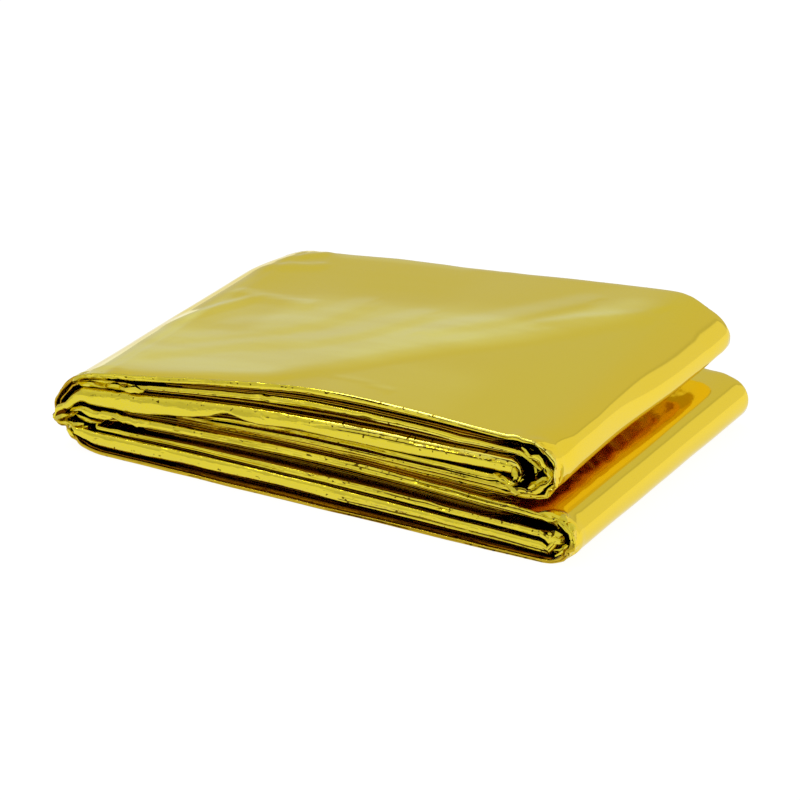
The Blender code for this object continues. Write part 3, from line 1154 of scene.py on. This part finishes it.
def grown(name, paths, values, material):
    # film strips along paths, which are lists of x, y, z, half the thickness, shade
    verts, links, thick, shades = [], [], [], []
    for path in paths:
        links += [(len(verts) + n, len(verts) + n + 1) for n in range(len(path) - 1)]
        for x, y, z, half, shade in path:
            verts.append((x * mm, y * mm, z * mm))
            thick.append(half * mm)
            shades.append(shade)
    mesh = bpy.data.meshes.new(name + "Paths")
    mesh.from_pydata(verts, links, [])
    mesh.attributes.new("halfThick", "FLOAT", "POINT").data.foreach_set("value", thick)
    mesh.attributes.new("inner", "FLOAT", "POINT").data.foreach_set("value", shades)
    piece = linked(name + "Paths", mesh)
    growth = piece.modifiers.new("films", "NODES")
    growth.node_group = filmTree(name + "Tree", material)
    for socket in growth.node_group.interface.items_tree:
        if socket.in_out == "INPUT" and socket.name in values:
            growth[socket.identifier] = values[socket.name]
    made = finished(piece, name)
    for vertex in made.data.vertices:
        place = vertex.co / mm
        if "crumple" in values:
            place += facets(place, values["crumpleSize"], values["crumpleSeed"]) * values["crumple"]
        place += frontSway(place) + crumpleAt(place) * values["follow"] + dentAt(place)
        vertex.co = place * mm
    if "sharp" in values:
        made.data.set_sharp_from_angle(angle=math.radians(values["sharp"]))
    print(name, "has", len(made.data.polygons), "faces")
    return made


# crumpled flaps of film at both ends of the front: path in x and z, setback, thickness
Flap = namedtuple("Flap", "path setback thick")
flaps = (
    Flap(((53.8, 15.0), (56.2, 16.7), (59.0, 18.8)), 0.7, 1.5),
    Flap(((47.6, 16.6), (49.6, 15.7), (52.4, 14.6)), 0.2, 1.5),
    Flap(((52.3, 24.4), (55.6, 23.4), (57.8, 21.7), (58.6, 19.4)), 0.9, 1.1),
    Flap(((54.2, 21.6), (55.4, 19.4), (54.6, 17.2)), 2.6, 1.2),
    Flap(((58.9, 6.9), (60.8, 5.7), (63.0, 4.9)), 0.4, 1.8),
    Flap(((60.4, 11.3), (62.2, 10.3), (63.6, 8.9)), 0.4, 1.4),
    Flap(((57.0, 10.6), (59.2, 9.9), (61.4, 8.8)), 1.2, 1.0),
    Flap(((60.4, 3.0), (62.0, 3.3), (63.2, 4.2)), 0.9, 0.9),
    Flap(((-63.8, 5.4), (-61.8, 7.2), (-58.4, 8.6)), 0.8, 1.1),
    Flap(((-61.6, 8.6), (-59.6, 9.7), (-56.6, 10.0), (-54.4, 9.6)), 0.4, 1.3),
    Flap(((-59.2, 7.7), (-56.6, 7.2), (-53.0, 7.2)), 0.9, 1.0),
    Flap(((-60.6, 2.6), (-61.9, 4.1), (-60.9, 5.6)), 0.2, 1.0),
    Flap(((-61.0, 15.4), (-58.0, 17.6), (-54.0, 18.7), (-50.4, 19.0)), 0.3, 1.5),
    Flap(((-58.7, 15.9), (-53.7, 16.6), (-49.2, 17.0)), 0.4, 1.2),
    Flap(((-51.9, 16.9), (-47.7, 17.3), (-43.2, 18.0), (-41.3, 17.6)), 0.2, 1.3),
    Flap(((-65.3, 6.4), (-63.8, 6.9), (-62.0, 7.4)), -0.2, 1.8),
    Flap(((-64.0, 6.1), (-61.6, 5.5), (-57.5, 6.1)), 0.2, 1.4),
    Flap(((-60.9, 2.9), (-59.6, 4.7), (-56.6, 5.6)), 0.6, 1.2),
    Flap(((51.2, 20.4), (52.0, 18.6), (51.5, 16.4)), -0.7, 2.0),
    Flap(((54.1, 15.9), (56.7, 17.9), (59.4, 19.7)), 0.3, 1.6),
    Flap(((45.5, 17.1), (47.7, 16.5), (49.8, 15.7)), 0.0, 1.4),
    Flap(((58.2, 22.6), (59.1, 21.2), (60.1, 19.2)), 0.1, 1.4),
    Flap(((51.1, 23.9), (54.0, 23.0), (57.2, 20.7)), 0.3, 1.3),
    Flap(((57.4, 10.9), (60.6, 11.2), (63.4, 10.6)), 0.1, 1.4),
    Flap(((59.3, 5.4), (61.4, 6.7), (62.8, 5.4)), 0.2, 2.2),
    Flap(((63.8, 10.3), (64.6, 8.6), (64.3, 6.5)), 0.3, 1.3),
    Flap(((61.3, 1.9), (63.2, 3.5), (63.9, 5.2)), 0.3, 1.2),
)

flapShape = {
    "step": 1.1,  # spacing of the points along a flap, in mm
    "taper": 2,  # its ends are tapered over this many points,
    "tip": 0.25,  # from this share of the taper,
    "endThick": 0.3,  # and to this share of its thickness
    "shade": 0.0,
    "flatness": 1.7,
    "ripple": 0.3 * mm,
    "rippleSize": 300.0,
    "seed": 11.0,
    "corners": 7,
    "crumple": 0.5,
    "crumpleSize": 2.0,
    "crumpleSeed": 90,
    "follow": 0.5,  # how far the flaps follow the crumpling of the layers
    "sharp": 28,
}


def flapPath(flap):
    path = []
    for (x1, z1), (x2, z2) in zip(flap.path, flap.path[1:]):
        count = max(1, round(math.hypot(x2 - x1, z2 - z1) / flapShape["step"]))
        path += [(mix(x1, x2, n / count), mix(z1, z2, n / count)) for n in range(count)]
    path.append(flap.path[-1])
    y = frontY + flap.setback + flap.thick * flapShape["flatness"] / 2
    found = []
    for n, (x, z) in enumerate(path):
        full = 1.0
        for fromEnd in (n, len(path) - 1 - n):
            full *= smooth(fromEnd / flapShape["taper"] + flapShape["tip"])
        found.append((x, y, z, flap.thick / 2 * mix(flapShape["endThick"], 1.0, full), flapShape["shade"]))
    return found


studio = {
    "floorSize": 8.0,
    "floorColour": (0.12, 0.12, 0.12, 1.0),
    "floorGlow": 0.93,
    "floorRoughness": 0.8,
    "backLeft": 0.70,  # brightness of the paper behind the pack, as the flat top mirrors it
    "backRight": 0.90,  # the large softbox on the right, which the loops mirror
    "boundary": 0.25,  # where one gives way to the other, as across over behind
    "join": (-0.02, 0.02),  # from where to where they do
    "seam": 0.10,  # how much darker the join is,
    "seamFrom": (-0.09, -0.02),  # and from where on the left
    "behind": (-0.15, 0.15),  # where the paper and the softbox give way to the room
    "front": 0.70,  # the room on the camera's side,
    "above": 0.2,  # how much brighter it is above,
    "aboveFrom": (0.35, 0.75),  # and from what height
    "overhead": 8.0,
    "lampSize": (0.8, 0.32),  # towards the rear, and along the pack
    "lampPlace": (-0.68, 0.24, 1.32),
    "bounces": 24,  # light goes to and fro many times between the gold layers
    "lens": 181.8,
    "sensor": 36,
    "nearest": 0.01,  # the camera shows nothing nearer than this
    "camera": (0.4114, -0.7213, 0.3697),
    "shift": (-3.8 / 800, 34.1 / 800),
}


def floorMaterial():
    material = bpy.data.materials.new("paleFloor")
    material.use_nodes = True
    surface = {
        "Base Color": studio["floorColour"],
        "Emission Color": (1.0, 1.0, 1.0, 1.0),
        "Emission Strength": studio["floorGlow"],
        "Roughness": studio["floorRoughness"],
        "Specular IOR Level": 0.0,
    }
    for key, value in surface.items():
        material.node_tree.nodes["Principled BSDF"].inputs[key].default_value = value
    return material


def aimed(name, data, place):
    # an object at a place, turned to the pack
    made = linked(name, data)
    made.location = place
    made.rotation_euler = (-made.location).to_track_quat("-Z", "Y").to_euler()
    return made


def buildStudio():
    scene = bpy.context.scene
    scene.view_settings.view_transform = "Standard"
    scene.view_settings.look = "None"
    scene.cycles.max_bounces = studio["bounces"]
    scene.cycles.glossy_bounces = studio["bounces"]
    floor = bpy.data.meshes.new("floor")
    s = studio["floorSize"] / 2
    floor.from_pydata([(-s, -s, 0), (s, -s, 0), (s, s, 0), (-s, s, 0)], [], [(0, 1, 2, 3)])
    floor.materials.append(floorMaterial())
    floorPiece = linked("floor", floor)

    world = bpy.data.worlds.new("studio")
    scene.world = world
    world.use_nodes = True
    world.node_tree.nodes.clear()
    recipe = Recipe(world.node_tree)
    across, behind, up = recipe.wire("ShaderNodeTexCoord", out=0).parts()
    aside = across - behind * studio["boundary"]
    onRight = aside.ramp(*studio["join"])
    seam = aside.ramp(*studio["seamFrom"]) * (1 - onRight)
    light = onRight * (studio["backRight"] - studio["backLeft"]) + studio["backLeft"] - seam * studio["seam"]
    front = up.ramp(*studio["aboveFrom"]) * studio["above"] + studio["front"]
    back = behind.ramp(*studio["behind"])
    glow = back * light + (1 - back) * front
    shader = recipe.node("ShaderNodeBackground", {}, {"Color": (1, 1, 1, 1), "Strength": glow})
    output = recipe.node("ShaderNodeOutputWorld")
    world.node_tree.links.new(shader.outputs[0], output.inputs[0])

    lamp = bpy.data.lights.new("overhead", "AREA")
    lamp.shape = "RECTANGLE"
    lamp.size, lamp.size_y = studio["lampSize"]
    lamp.energy = studio["overhead"] * lamp.size * lamp.size_y * math.pi
    aimed("overhead", lamp, studio["lampPlace"])

    camera = bpy.data.cameras.new("camera")
    camera.lens = studio["lens"]
    camera.sensor_width = studio["sensor"]
    camera.clip_start = studio["nearest"]
    camera.shift_x, camera.shift_y = studio["shift"]
    scene.camera = aimed("camera", camera, studio["camera"])
    print("studio built")


buildStudio()
foilGold = foilMaterial()
pack = buildBlanket("foldedBlanket", foilGold)
edges = grown("filmEdges", [filmPath(film) for film in filmRows(gaps)], filmEdges, foilGold)
rear = grown("rearFilms", [rearPath(film) for film in filmRows(rearGaps)], filmEdges, foilGold)
folded = grown("cornerFlaps", [flapPath(flap) for flap in flaps], flapShape, foilGold)
for piece in (edges, rear, folded):
    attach(piece, "root")
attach(pack, "root")
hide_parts("foil_blanket")
